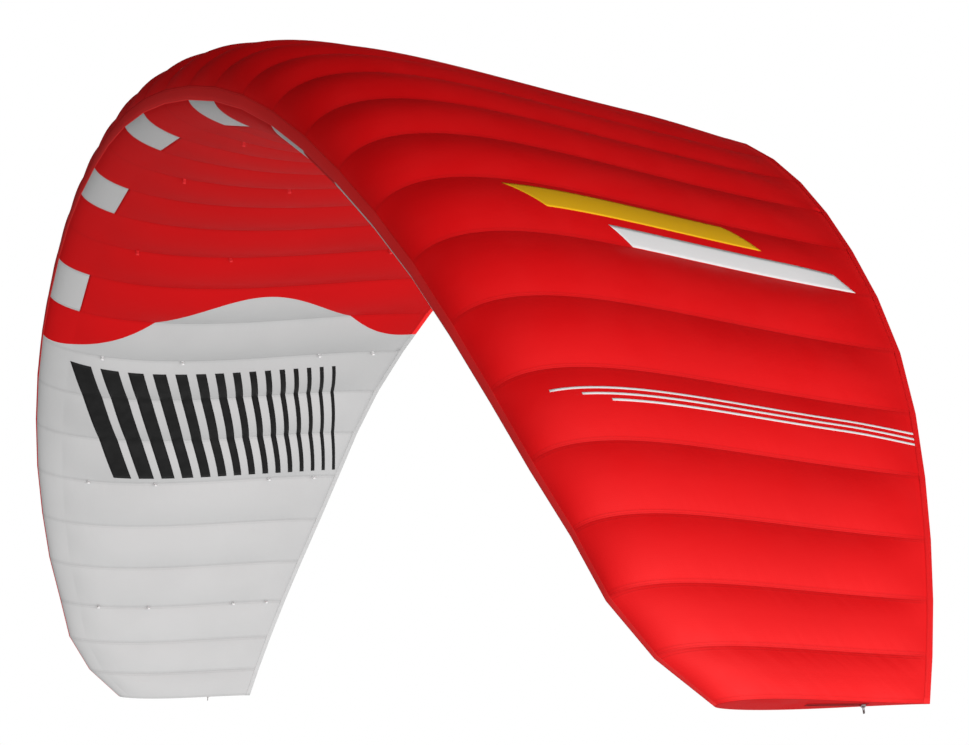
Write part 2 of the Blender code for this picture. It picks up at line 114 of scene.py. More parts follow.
# How finely the cloth is meshed
CELL_STEPS = 8
CHORD_STEPS = 64
ARC_STEPS = 2000
TAPE_ROWS = 17
FLAP_BEND_STEPS = 8
FLAP_FREE_STEPS = 14
STATION_GAP = 0.004
STATIONS = np.linspace(0, 1, CHORD_STEPS + 1)
LOWER_STATIONS = np.unique(np.concatenate([
    STATIONS[np.abs(STATIONS - INLET_END_SHARE) > STATION_GAP], [INLET_END_SHARE],
]))

# How thick the cloth, nets, prints and tapes are, and how far off the solids' surface they lie
SKIN_THICKNESS = 0.0004
NET_SINK = 0.0002
PRINT_LIFT = 0.0006
PRINT_THICKNESS = 0.0002
TAPE_THICKNESS = 0.0003
NOSE_TAPE_SHARES = (-0.044, 0.050)
NOSE_TAPE_LIFT = 0.0005
EDGE_TAPE_REACH = 0.016
EDGE_TAPE_HALF_WIDTH = 0.018
EDGE_TAPE_LIFT = 0.0007
EDGE_TAPE_SINK = 0.0001
PRESSED_SHARE = 0.25
FOLD_SHARE = 0.25
FOLD_REACH = 0.0018
FOLD_GAP = 0.0002


def smooth(places, values, at, level_start=True):
    """A smooth curve through the values, read at the places given."""
    places = np.asarray(places, float)
    values = np.asarray(values, float)
    run = np.diff(places)
    rise = np.diff(values) / run
    slope = np.empty_like(values)
    slope[1:-1] = (rise[:-1] * run[1:] + rise[1:] * run[:-1]) / (run[1:] + run[:-1])
    slope[0] = 0.0 if level_start else 2 * rise[0] - slope[1]
    slope[-1] = 2 * rise[-1] - slope[-2]
    i = np.clip(np.searchsorted(places, at, side="right") - 1, 0, len(run) - 1)
    t = (at - places[i]) / run[i]
    rest = values[i] * (2 * t**3 - 3 * t**2 + 1) + values[i + 1] * (3 * t**2 - 2 * t**3)
    return rest + run[i] * (slope[i] * (t**3 - 2 * t**2 + t) + slope[i + 1] * (t**3 - t**2))


def rib_distances():
    """Each rib's distance from the wing's middle, measured along the arch."""
    middles = (np.arange(CELLS) + 0.5) / (CELLS / 2) - 1
    widths = smooth(CELL_SPAN_SHARES, CELL_WIDTH_SHARES, np.abs(middles))
    widths *= 2 * HALF_SPAN / widths.sum()
    return np.concatenate([[0.0], np.cumsum(widths)]) - HALF_SPAN


def rib_planes(distances):
    """The ribs' noses, chord directions, upward directions, sides and chord lengths."""
    share = np.abs(distances) / HALF_SPAN
    fine = np.linspace(0, 1, ARCH_STEPS + 1)
    angles = np.radians(smooth(SPAN_SHARES, ARCH_ANGLES, fine, level_start=False))
    step = HALF_SPAN / ARCH_STEPS / 2
    out = np.concatenate([[0.0], np.cumsum(np.cos(angles[1:]) + np.cos(angles[:-1]))]) * step
    down = np.concatenate([[0.0], np.cumsum(np.sin(angles[1:]) + np.sin(angles[:-1]))]) * step
    side = np.where(distances < 0, -1.0, 1.0)
    angle = side * np.interp(share, fine, angles)
    twist = np.radians(smooth(SPAN_SHARES, TWIST_ANGLES, share))[:, None]
    chord = CENTRE_CHORD * smooth(SPAN_SHARES, CHORD_SHARES, share)
    edge = CENTRE_CHORD * smooth(SPAN_SHARES, TRAILING_EDGE_SHARES, share)
    level = np.zeros_like(angle)
    normal = np.stack([np.sin(angle), level, np.cos(angle)], axis=1)
    straight = np.array([0.0, 1.0, 0.0])
    back = straight * np.cos(twist) - normal * np.sin(twist)
    up = straight * np.sin(twist) + normal * np.cos(twist)
    sideways = np.stack([np.cos(angle), level, -np.sin(angle)], axis=1)
    middle = np.stack([
        side * np.interp(share, fine, out),
        edge - chord / 2 * np.cos(twist[:, 0]),
        -np.interp(share, fine, down),
    ], axis=1)
    nose = middle - back * chord[:, None] / 2
    return nose, back, up, sideways, chord


DISTANCES = rib_distances()
WIDTHS = np.diff(DISTANCES)
NOSE, BACK, UP, SIDE, CHORD = rib_planes(DISTANCES)


def outline(rib, q):
    """The outline at q in the planes of these ribs, as metres along the chord and up."""
    q = np.asarray(q, float)
    x = q * q
    upper = q >= 0
    first, second, third = (
        np.where(upper, above, below)
        for above, below in zip(UPPER_CURVE_SHARES, LOWER_CURVE_SHARES)
    )
    curve = first * (1 - x) ** 2 + 2 * second * x * (1 - x) + third * x * x
    edge = np.where(upper, 1, -1) * EDGE_THICKNESS / 2 * x
    return x * CHORD[rib], q * (1 - x) * curve * CHORD[rib] + edge


def outward(rib, q):
    """The outline's outward direction at q, along the chord and up."""
    ahead_x, ahead_y = outline(rib, q + NORMAL_STEP_SHARE)
    behind_x, behind_y = outline(rib, q - NORMAL_STEP_SHARE)
    across, along = behind_y - ahead_y, ahead_x - behind_x
    length = np.hypot(across, along)
    return across / length, along / length


def rib_point(rib, q, lift):
    """A point over the outline at q by this lift, in the arch's own frame."""
    x, y = outline(rib, q)
    out_x, out_y = outward(rib, q)
    x, y = x + out_x * lift, y + out_y * lift
    return NOSE[rib] + BACK[rib] * x[..., None] + UP[rib] * y[..., None]


def cell_at(place):
    return np.clip(np.floor(place).astype(int), 0, CELLS - 1)


def swell(q):
    """How much of a cell's full swell is left at q: none at the nose and the trailing edge."""
    start = np.where(q >= 0, UPPER_SWELL_START_SHARE, LOWER_SWELL_START_SHARE)
    rise = np.clip((np.abs(q) - start) / SWELL_FADE_SHARE, 0, 1)
    fall = np.minimum((1 - q * q) / SWELL_END_SHARE, 1)
    return np.sin(rise * np.pi / 2) * np.sin(fall * np.pi / 2)


def arch_point(place, q, lift=0.0, swollen=1.0):
    """Points of the skin in the arch's own frame, over its outer side by this lift."""
    place, q = np.broadcast_arrays(np.asarray(place, float), np.asarray(q, float))
    cell = cell_at(place)
    share = (place - cell)[..., None]
    flat = rib_point(cell, q, lift) * (1 - share) + rib_point(cell + 1, q, lift) * share
    out = np.zeros_like(flat)
    for rib in (cell, cell + 1):
        out_x, out_y = outward(rib, q)
        out += BACK[rib] * out_x[..., None] + UP[rib] * out_y[..., None]
    out /= np.linalg.norm(out, axis=-1, keepdims=True)
    height = SWELL_SHARE * WIDTHS[cell] * swell(q) * swollen
    return flat + out * 4 * share * (1 - share) * height[..., None]


HOLD_POINT = arch_point(CELLS / 2, -TAB_ROW_SHARES["middle"])


def skin_point(place, q, lift=0.0, swollen=1.0):
    """Points of the skin in the row frame."""
    return arch_point(place, q, lift, swollen) - HOLD_POINT


def arc_table(sign):
    """The outline's length from the nose to each of many places, on a chord of one metre."""
    q = np.linspace(0, 1, ARC_STEPS + 1)
    x, y = outline(0, sign * q)
    steps = np.hypot(np.diff(x), np.diff(y)) / CHORD[0]
    return q, np.concatenate([[0.0], np.cumsum(steps)])


ARC_TABLES = {1: arc_table(1), -1: arc_table(-1)}


def arc_length(place, q):
    """The length of cloth from the nose to q, in metres."""
    chord = np.interp(place, np.arange(CELLS + 1), CHORD)
    above = np.interp(q, *ARC_TABLES[1])
    below = np.interp(-q, *ARC_TABLES[-1])
    return np.where(q >= 0, above, -below) * chord


# Materials, each built node by node
def rgb(red, green, blue):
    return (red, green, blue, 1.0)


def add_node(tree, kind, inputs, output=0, **settings):
    """Adds a node, whose inputs are sockets to link or plain values, and gives one of its outputs."""
    node = tree.nodes.new("ShaderNode" + kind)
    for name, value in settings.items():
        setattr(node, name, value)
    for key, value in dict(inputs).items():
        if isinstance(value, bpy.types.NodeSocket):
            tree.links.new(value, node.inputs[key])
        else:
            node.inputs[key].default_value = value
    return node.outputs[output]


class Paint:
    """One procedural material under construction."""

    def __init__(self, name, roughness, metallic=0.0, specular=0.5):
        self.material = bpy.data.materials.new(name)
        self.material.use_nodes = True
        self.tree = self.material.node_tree
        self.shader = self.tree.nodes["Principled BSDF"]
        self.shader.inputs["Roughness"].default_value = roughness
        self.shader.inputs["Metallic"].default_value = metallic
        self.shader.inputs["Specular IOR Level"].default_value = specular

    def add(self, kind, inputs, output=0, **settings):
        return add_node(self.tree, kind, inputs, output, **settings)

    def math(self, operation, *values):
        return self.add("Math", enumerate(values), operation=operation)

    def mix(self, share, first, second):
        return self.add("Mix", {0: share, 6: first, 7: second}, 2, data_type="RGBA")

    def scaled(self, colour, share):
        """The colour, a fixed one or a socket, made this much darker or lighter."""
        if not isinstance(colour, bpy.types.NodeSocket):
            return rgb(*(part * share for part in colour[:3]))
        keys = {0: 1.0, 6: colour, 7: rgb(share, share, share)}
        return self.add("Mix", keys, 2, data_type="RGBA", blend_type="MULTIPLY")

    def shaded(self, colour, mask, amount, share):
        """The colour, made this much darker or lighter by the mask times the amount."""
        return self.mix(self.math("MULTIPLY", mask, amount), colour, self.scaled(colour, share))

    def ramp(self, value, low, high, start=0.0, end=1.0):
        keys = {"Value": value, "From Min": low, "From Max": high, "To Min": start, "To Max": end}
        return self.add("MapRange", keys, interpolation_type="SMOOTHSTEP")

    def uv(self, name):
        vector = self.add("UVMap", {}, uv_map=name)
        return [self.add("SeparateXYZ", {0: vector}, k) for k in (0, 1)]

    def noise(self, scale, detail=3.0, roughness=0.5, vector=None):
        """Noise over the place on the object in metres, or over another vector."""
        vector = vector or self.add("TexCoord", {}, "Object")
        keys = {"Vector": vector, "Scale": scale, "Detail": detail, "Roughness": roughness}
        return self.add("TexNoise", keys)

    def lines(self, value, period, width, soft):
        """One on thin lines that lie a period apart, and zero between them."""
        off = self.math("PINGPONG", value, period / 2)
        return self.ramp(off, width / 2, width / 2 + soft, 1.0, 0.0)

    def grid(self, x, y, period, width, soft, operation="MAXIMUM"):
        """Thin lines across both values."""
        return self.math(operation, *(self.lines(value, period, width, soft) for value in (x, y)))

    def band(self, value, middle, width, soft):
        """One on a single line at the middle, and zero away from it."""
        off = self.math("ABSOLUTE", self.math("SUBTRACT", value, middle))
        return self.ramp(off, width / 2, width / 2 + soft, 1.0, 0.0)

    def colour(self, socket):
        self.tree.links.new(socket, self.shader.inputs["Base Color"])

    def rough(self, socket):
        self.tree.links.new(socket, self.shader.inputs["Roughness"])

    def bump(self, height, distance, strength=1.0):
        """Adds a relief of this depth in metres over the reliefs that are there already."""
        keys = {"Height": height, "Distance": distance, "Strength": strength}
        before = self.shader.inputs["Normal"].links
        if before:
            keys["Normal"] = before[0].from_socket
        self.tree.links.new(self.add("Bump", keys), self.shader.inputs["Normal"])


# Colours, and the measures of threads, seams and stitches in metres
RED = rgb(0.88, 0.0055, 0.0075)
# A paler red for a painted highlight along the nose.
NOSE_HIGHLIGHT_RED = rgb(0.80, 0.024, 0.024)
# A darker copy of the red for the lower skin: painted shade for the underside of the arch.
SHADED_UNDER_RED = rgb(0.54, 0.0036, 0.0050)
GREY = rgb(0.49, 0.49, 0.49)
CLOTH_ROUGHNESS_RANGE = (0.44, 0.56)
RIP = (0.005, 0.0005, 0.0003)
WEAVE = (0.0008, 0.0002, 0.0002)
NET = (0.0022, 0.0009, 0.0004)
HEM_WIDTH = 0.012
HEM_SOFT = 0.0008
PUCKER_REACH = 0.075
PUCKER_SCALES = (5.0, 26.0, 0.0)
SEAM_ALLOWANCE = 0.010
SEAM_SOFT = 0.0006
CREASE_SHADE_WIDTH = 0.0014
STITCH_ROWS = (0.0025, 0.0075)
STITCH_WIDTH = 0.0007
STITCH_SPACING = 0.0032
STITCH_SHARE = 0.55
NOSE_STITCH_ROWS = (-0.009, 0.022)
NOSE_STITCH_WIDTH = 0.0008
NOSE_HIGHLIGHT_REACH = 0.07
HERRINGBONE_WIDTH = 0.003


def stitched(paint, colour, along, off, rows, width, amount):
    """Rows of stitches, each row at its own distance off the seam."""
    dash = paint.lines(along, STITCH_SPACING, STITCH_SPACING * STITCH_SHARE, 0.0004)
    bands = paint.math("MAXIMUM", *(paint.band(off, row, width, 0.0003) for row in rows))
    stitches = paint.math("MULTIPLY", bands, dash)
    paint.bump(stitches, 0.0003, 0.8)
    return paint.shaded(colour, stitches, amount, 0.45)


def cloth_detail(paint, colour, seams=True, wrinkles=1.0, seam_tone=1.0):
    """Ripstop threads, tone changes, sewn seams, puckers and a painted shade in each seam's crease over
    a cloth's base colour.
    """
    u, v = paint.uv("metres")
    broad = paint.ramp(paint.noise(2.2, 4.0), 0.3, 0.7)
    colour = paint.mix(broad, paint.scaled(colour, 0.955), paint.scaled(colour, 1.02))
    threads = paint.grid(u, v, *RIP)
    colour = paint.shaded(colour, threads, 0.10, 0.7)
    paint.bump(paint.grid(u, v, *WEAVE, "ADD"), 0.00002, 0.3)
    paint.bump(threads, 0.00012, 0.5)
    paint.bump(paint.noise(26.0, 5.0, 0.55), 0.0010 * wrinkles, 0.4)
    if seams:
        off, along = paint.uv("seam")
        near = paint.ramp(off, 0.0, PUCKER_REACH, 1.0, 0.0)
        metres = paint.add("UVMap", {}, uv_map="metres")
        drawn = paint.add("VectorMath", {0: metres, 1: PUCKER_SCALES}, operation="MULTIPLY")
        pucker = paint.noise(1.0, 2.0, 0.4, drawn)
        paint.bump(paint.math("MULTIPLY", near, pucker), 0.0035 * wrinkles, 0.5)
        low, high = SEAM_ALLOWANCE - SEAM_SOFT, SEAM_ALLOWANCE + SEAM_SOFT
        allowance = paint.ramp(off, low, high, 1.0, 0.0)
        colour = paint.shaded(colour, allowance, 0.25 * seam_tone, 0.86)
        paint.bump(allowance, 0.0002, 0.4)
        colour = stitched(paint, colour, along, off, STITCH_ROWS, STITCH_WIDTH, 0.4 * seam_tone)
        # Painted shade: the cloth darkens within a narrow width of each seam, where shade falls in the
        # crease.
        crease_shade = paint.ramp(off, 0.0, CREASE_SHADE_WIDTH, 1.0, 0.0)
        colour = paint.shaded(colour, crease_shade, 0.35 * seam_tone, 0.35)
    return colour


def ripstop(name, colour, seams=True, wrinkles=1.0, specular=0.22):
    """Coated ripstop cloth of one colour."""
    paint = Paint(name, 0.5, specular=specular)
    paint.colour(cloth_detail(paint, colour, seams, wrinkles, seam_tone=0.75))
    paint.rough(paint.ramp(paint.noise(9.0), 0.3, 0.7, *CLOTH_ROUGHNESS_RANGE))
    return paint.material


# Where the lower skin's colour changes: so many cells from the tip, over the chord share
BOUNDARY_START = 9.05
BOUNDARY_SLOPE = 0.42
BOUNDARY_RISE = 1.55


def outside_boundary(paint, place, x):
    """One where the lower skin is grey, outside the curved boundary, and zero in the middle."""
    middle = CELLS / 2
    from_middle = paint.math("ABSOLUTE", paint.math("SUBTRACT", place, middle))
    wave = paint.math("SINE", paint.math("MULTIPLY", x, math.pi))
    limit = paint.math("MULTIPLY", paint.math("MULTIPLY", wave, wave), -BOUNDARY_RISE)
    limit = paint.math("MULTIPLY_ADD", x, -BOUNDARY_SLOPE, limit)
    limit = paint.math("ADD", limit, middle - BOUNDARY_START)
    return paint.math("GREATER_THAN", from_middle, limit)


def two_colour_ripstop(name):
    """Red in the middle of the lower skin, darkened with painted shade, and grey outside a curved
    boundary.
    """
    paint = Paint(name, 0.6, specular=0.06)
    place, q = paint.uv("cells")
    outside = outside_boundary(paint, place, paint.math("MULTIPLY", q, q))
    paint.colour(cloth_detail(paint, paint.mix(outside, SHADED_UNDER_RED, GREY), seam_tone=0.55))
    return paint.material


def net_cloth(name):
    """A fine net that looks pale from far off and shows dark meshes near by, painted with what shows
    through them: shade inside the wing near the nose, and the grey flap further back.
    """
    paint = Paint(name, 0.6, specular=0.25)
    u, v = paint.uv("metres")
    _, q = paint.uv("cells")
    strands = paint.grid(paint.math("ADD", u, v), paint.math("SUBTRACT", u, v), *NET)
    # Painted shade: the meshes are darkest at the nose, where only the shaded inside of the wing lies
    # behind them, and paler further back over the grey flap.
    shade_seen_through = paint.ramp(paint.math("ABSOLUTE", q), 0.0, INLET_END_SHARE, 0.42, 0.74)
    holes = paint.add("CombineColor", {0: shade_seen_through, 1: shade_seen_through, 2: shade_seen_through})
    off, _ = paint.uv("seam")
    hem = paint.ramp(off, HEM_WIDTH, HEM_WIDTH + HEM_SOFT, 1.0, 0.0)
    colour = paint.mix(strands, holes, GREY)
    paint.colour(paint.mix(hem, colour, paint.scaled(GREY, 0.93)))
    paint.bump(strands, 0.0004, 0.8)
    paint.bump(hem, 0.0004, 0.8)
    paint.bump(paint.noise(14.0), 0.002, 0.4)
    return paint.material


def woven_tape(name, colour, roughness=0.55, rib_spacing=0.0012, outer_colour=None):
    """Woven binding tape or webbing, which may change colour below the skin's boundary."""
    paint = Paint(name, roughness, specular=0.3)
    u, v = paint.uv("metres")
    if outer_colour:
        place, below = paint.uv("cells")
        outside = outside_boundary(paint, place, paint.math("MINIMUM", below, 1.0))
        lower = paint.math("GREATER_THAN", below, 0.0)
        colour = paint.mix(paint.math("MULTIPLY", outside, lower), colour, outer_colour)
    slant = paint.math("ADD", u, paint.math("PINGPONG", v, HERRINGBONE_WIDTH))
    ribs = paint.lines(slant, rib_spacing, rib_spacing * 0.4, rib_spacing * 0.3)
    tone = paint.mix(ribs, paint.scaled(colour, 0.86), colour)
    worn = paint.ramp(paint.noise(40.0, 4.0), 0.35, 0.65)
    paint.colour(paint.shaded(tone, worn, 0.25, 0.85))
    paint.bump(ribs, 0.0002, 0.7)
    return paint.material


def print_ink(name, colour):
    """Printed cloth: flat ink that the ripstop threads still show through."""
    paint = Paint(name, 0.5, specular=0.1)
    u, v = paint.uv("metres")
    threads = paint.grid(u, v, *RIP)
    worn = paint.ramp(paint.noise(30.0, 5.0), 0.3, 0.7, 0.0, 0.12)
    faded = rgb(*(part * 0.85 + 0.03 for part in colour[:3]))
    tone = paint.mix(worn, colour, faded)
    paint.colour(paint.mix(paint.math("MULTIPLY", threads, 0.12), tone, faded))
    paint.bump(threads, 0.0001, 0.5)
    return paint.material


def enamelled_metal(name, colour, roughness):
    """Enamel on metal, a little worn and finely grained."""
    paint = Paint(name, roughness, metallic=1.0)
    worn = paint.ramp(paint.noise(260.0, 4.0), 0.4, 0.65)
    paint.colour(paint.mix(worn, colour, paint.scaled(colour, 0.7)))
    paint.rough(paint.ramp(worn, 0.0, 1.0, roughness, roughness + 0.15))
    paint.bump(paint.noise(900.0, 4.0), 0.00003, 0.5)
    return paint.material


def nose_cloth(name):
    """Edge cloth with a row of stitches near both sides of the nose tape, and a painted highlight that
    makes the red paler towards the nose.
    """
    paint = Paint(name, 0.7, specular=0.2)
    u, v = paint.uv("metres")
    # Painted highlight: the red pales towards the nose over this reach.
    nose_highlight = paint.ramp(v, 0.0, NOSE_HIGHLIGHT_REACH, 1.0, 0.0)
    colour = cloth_detail(paint, paint.mix(nose_highlight, RED, NOSE_HIGHLIGHT_RED), seams=False, wrinkles=0.5)
    paint.colour(stitched(paint, colour, u, v, NOSE_STITCH_ROWS, NOSE_STITCH_WIDTH, 0.6))
    return paint.material


MATERIALS = {
    "red": ripstop("red_ripstop", RED),
    "grey": ripstop("grey_ripstop", GREY),
    "two_colour": two_colour_ripstop("red_and_grey_ripstop"),
    "flap": ripstop("flap_cloth", GREY, seams=False, wrinkles=0.6),
    "rib": ripstop("rib_ripstop", rgb(0.78, 0.78, 0.77), seams=False, wrinkles=0.3),
    "tip": ripstop("tip_ripstop", rgb(0.60, 0.004, 0.006), seams=False, wrinkles=0.4, specular=0.05),
    "net": net_cloth("inlet_net_cloth"),
    "edge_tape": woven_tape(
        "edge_tape_cloth", rgb(0.95, 0.006, 0.008), outer_colour=rgb(0.54, 0.54, 0.54)
    ),
    "loop": woven_tape("loop_webbing", rgb(0.85, 0.03, 0.035), 0.6, 0.0009, rgb(0.85, 0.85, 0.85)),
    "dark_tape": woven_tape("zip_tape_cloth", rgb(0.34, 0.004, 0.006), 0.7, 0.0008),
    "black_ink": print_ink("black_ink", rgb(0.007, 0.007, 0.007)),
    "white_ink": print_ink("white_ink", rgb(0.88, 0.87, 0.87)),
    "yellow_ink": print_ink("yellow_ink", rgb(0.95, 0.52, 0.012)),
    "coil": woven_tape("zip_coil", rgb(0.30, 0.006, 0.008), 0.4, 0.0004),
    "metal": enamelled_metal("slider_enamel", rgb(0.40, 0.36, 0.36), 0.34),
    "nose": nose_cloth("nose_edge_cloth"),
}


# Meshes
def new_object(name, data):
    made = bpy.data.objects.new(name, data)
    bpy.context.scene.collection.objects.link(made)
    return made


def new_piece(name, mesh, material, body="wing"):
    """Puts a finished mesh in the scene as a piece that rides on a body, or on none when no body is
    given.
    """
    piece = new_object(name, mesh)
    mesh.materials.append(MATERIALS[material])
    if body:
        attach(piece, body)
    return piece


def add_modifier(piece, kind, **settings):
    made = piece.modifiers.new(kind.lower(), kind)
    for name, value in settings.items():
        setattr(made, name, value)


def bevelled_piece(name, mesh, material, body, width):
    piece = new_piece(name, mesh, material, body)
    add_modifier(piece, "BEVEL", width=width, segments=2)
    return piece


def thin_piece(name, mesh, material, thickness, body="wing"):
    """A new piece whose mesh is its outer side."""
    piece = new_piece(name, mesh, material, body)
    add_modifier(piece, "SOLIDIFY", thickness=thickness, offset=-1.0)
    return piece


def set_uv(mesh, name, first, second):
    """Gives every face corner its vertex's pair of numbers."""
    corners = np.empty(len(mesh.loops), np.int32)
    mesh.loops.foreach_get("vertex_index", corners)
    values = np.stack([first, second], axis=1)[corners]
    mesh.uv_layers.new(name=name).data.foreach_set("uv", values.astype(np.float32).ravel())


def finished(bm, name):
    """A mesh of these faces, all turned outwards."""
    bmesh.ops.recalc_face_normals(bm, faces=bm.faces)
    mesh = bpy.data.meshes.new(name)
    bm.to_mesh(mesh)
    bm.free()
    return mesh


def merged(name, meshes):
    """The first mesh with the others added to it."""
    bm = bmesh.new()
    for mesh in meshes:
        bm.from_mesh(mesh)
    bm.to_mesh(meshes[0])
    bm.free()
    for mesh in meshes[1:]:
        bpy.data.meshes.remove(mesh)
    meshes[0].name = name
    return meshes[0]


def surface(name, rows, columns, point, upward, kept=None, sharp_rows=()):
    """A smooth mesh over a grid: point(rows, columns) gives its vertices as an array."""
    grid_rows, grid_columns = np.meshgrid(rows, columns, indexing="ij")
    points = point(grid_rows, grid_columns)
    count = len(columns)
    i, j = np.meshgrid(np.arange(len(rows) - 1), np.arange(count - 1), indexing="ij")
    if kept is not None:
        use = kept(grid_rows, grid_columns)
        i, j = i[use], j[use]
    first = (i * count + j).ravel()
    faces = np.stack([first, first + count, first + count + 1, first + 1], axis=1)
    if not upward:
        faces = faces[:, ::-1]
    used, index = np.unique(faces, return_inverse=True)
    mesh = bpy.data.meshes.new(name)
    mesh.from_pydata(points.reshape(-1, 3)[used].tolist(), [], index.reshape(faces.shape).tolist())
    mesh.shade_smooth()
    if len(sharp_rows):
        ends = np.empty(len(mesh.edges) * 2, np.int32)
        mesh.edges.foreach_get("vertices", ends)
        row = used[ends.reshape(-1, 2)] // count
        sharp = (row[:, 0] == row[:, 1]) & np.isin(row[:, 0], sharp_rows)
        mesh.attributes.new("sharp_edge", "BOOLEAN", "EDGE").data.foreach_set("value", sharp)
    return mesh, grid_rows.ravel()[used], grid_columns.ravel()[used]


def map_cloth(mesh, place, q):
    """The cloth's three maps: metres of cloth, cells and q, and distance from the nearest seam."""
    cell = cell_at(place)
    share = place - cell
    along = arc_length(place, q)
    set_uv(mesh, "metres", DISTANCES[cell] + share * WIDTHS[cell], along)
    set_uv(mesh, "cells", place, q)
    set_uv(mesh, "seam", np.minimum(share, 1 - share) * WIDTHS[cell], along)


def steps_between(first, last, per_cell):
    """Places from first to last with a vertex row on every rib between them."""
    marks = [first, *range(math.floor(first) + 1, math.ceil(last)), last]
    places = []
    for low, high in zip(marks[:-1], marks[1:]):
        count = max(1, round((high - low) * per_cell))
        places += list(np.linspace(low, high, count, endpoint=False))
    return np.array([*places, last])


def cloth(name, places, stations, sign, material, lift=0.0, kept=None):
    """A piece of the skin from rib to rib, as thin as cloth, with a crease on every rib."""
    creased = [k for k, place in enumerate(places) if abs(place - round(place)) < 1e-9]
    mesh, place, q = surface(
        name, places, stations * sign, lambda p, q: skin_point(p, q, lift), sign > 0, kept, creased
    )
    map_cloth(mesh, place, q)
    return thin_piece(name, mesh, material, SKIN_THICKNESS)


def in_no_inlet(p, q):
    """Which squares of the lower skin's grid are cloth, and not an inlet."""
    inlet = np.isin(np.floor(p[:-1, :-1] + 1e-6) + 1, INLET_CELLS)
    return ~(inlet & (q[:-1, :-1] > -INLET_END_SHARE + 1e-6))


def skins():
    """Both skins in their three stretches, by side."""
    made = {}
    for side, (first, last) in SKINS.items():
        places = steps_between(first, last, CELL_STEPS)
        made["upper", side] = cloth(f"upper_cloth_{side}", places, STATIONS, 1, "red")
        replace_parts(made["upper", side], f"upper_skin_{side}")
        material, slot = ("two_colour", "red_cloth") if side == "centre" else ("grey", "grey_cloth")
        made["lower", side] = cloth(
            f"lower_cloth_{side}", places, LOWER_STATIONS, -1, material, kept=in_no_inlet
        )
        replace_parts(made["lower", side], f"lower_skin_{side}")
    return made


def inlets():
    """The net over each inlet and the valve flap behind it."""
    stations = LOWER_STATIONS[LOWER_STATIONS <= INLET_END_SHARE]
    for cell in INLET_CELLS:
        places = np.linspace(cell - 1, cell, CELL_STEPS + 1)
        name = f"inlet_net_{cell}"
        window = cloth(name, places, stations, -1, "net", lift=-NET_SINK)
        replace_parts(window, f"inlet_window_{cell}")
        flap(cell)


def flap(cell):
    """The valve flap inside an inlet, lying just inside the lower skin from its sewn front edge to its
    free rear edge.
    """
    inset = FLAP_SIDE_GAP / WIDTHS[cell - 1]
    places = np.linspace(cell - 1 + inset, cell - inset, CELL_STEPS + 1)
    bend_end = FLAP_START_SHARE + FLAP_BEND_SHARE
    bending = np.linspace(FLAP_START_SHARE, bend_end, FLAP_BEND_STEPS + 1)
    free = np.linspace(bend_end, FLAP_END_SHARE, FLAP_FREE_STEPS + 1)
    depth = CLOTH + 2 * SEAM_GAP

    def inside(place, q):
        return skin_point(place, q, -depth, 0.0)

    mesh, place, q = surface(
        f"flap_cloth_{cell}", places, -np.unique(np.append(bending, free)), inside, False
    )
    map_cloth(mesh, place, q)
    piece = thin_piece(mesh.name, mesh, "flap", SKIN_THICKNESS, None)
    left, right, behind = (
        Vector(inside(np.array(cell - off), np.array(-share)))
        for off, share in ((0.9, FLAP_START_SHARE), (0.1, FLAP_START_SHARE), (0.5, bend_end))
    )
    hinge = (left + right) / 2
    axis = (right - left).normalized()
    bend = behind - hinge
    bend -= axis * bend.dot(axis)
    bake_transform(piece)
    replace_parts(piece, f"valve_flap_{cell}")


# Prints: cells are counted from the tip, and shares are of the chord
BARS = 15
BAR_CELLS = (6.15, 8.75)
BAR_STEPS = 12
BAR_START_SHARE = 0.075
BAR_WIDTH_SHARE = 0.052
BAR_LEAST_SHARE = 0.004
BAR_TAPER = 0.86
BAR_SLANT_SHARE = 0.16
BAR_STEP_SHARE = 0.008
BAR_GAP_SHARE = 0.025
STRIPE_ROWS = 60
STRIPE_STEPS = 24

# Stripes on the upper skin: cell, width in cells, first and last share, slant
YELLOW_STRIPE = (7.62, 0.44, 0.25, 0.72, -0.06)
WHITE_STRIPE = (7.14, 0.26, 0.42, 0.93, -0.04)
PINSTRIPE_CELL = 4.66
PINSTRIPE_SPACING = 0.085
PINSTRIPE_WIDTH = 0.032
PINSTRIPE_STARTS = (0.08, 0.14, 0.20)
PINSTRIPE_END = 0.985


def mirrored(from_tip, side):
    """The place of a spot that is this many cells from the tip on this side."""
    return from_tip if side == "left" else CELLS - from_tip


def print_mesh(rows, shares, spot, upward):
    """A print's mesh on the skin: spot(row, share) gives the place and q of every vertex."""
    mesh, row, share = surface(
        "print", rows, shares, lambda r, s: skin_point(*spot(r, s), PRINT_LIFT), upward
    )
    map_cloth(mesh, *spot(row, share))
    return mesh


def printed(name, meshes, material):
    """All prints of one kind on a side, as one piece."""
    return thin_piece(name, merged(name, meshes), material, PRINT_THICKNESS)


def slanted_bars(side):
    """Slanted black bars on the grey cloth, each narrower than the one before it."""
    low, high = BAR_CELLS
    rows = steps_between(*sorted(mirrored(place, side) for place in BAR_CELLS), BAR_STEPS)
    made = []
    start = BAR_START_SHARE
    for k in range(BARS):
        width = BAR_WIDTH_SHARE * BAR_TAPER**k + BAR_LEAST_SHARE

        def spot(place, share, start=start, width=width):
            slant = BAR_SLANT_SHARE * (1 - (mirrored(place, side) - low) / (high - low))
            front, rear = np.sqrt(start + slant), np.sqrt(start + width + slant)
            return place, -(front * (1 - share) + rear * share)

        shares = np.linspace(0, 1, max(1, round(width / BAR_STEP_SHARE)) + 1)
        made.append(print_mesh(rows, shares, spot, False))
        start += width + BAR_GAP_SHARE
    return printed(f"slanted_bars_{side}", made, "black_ink")


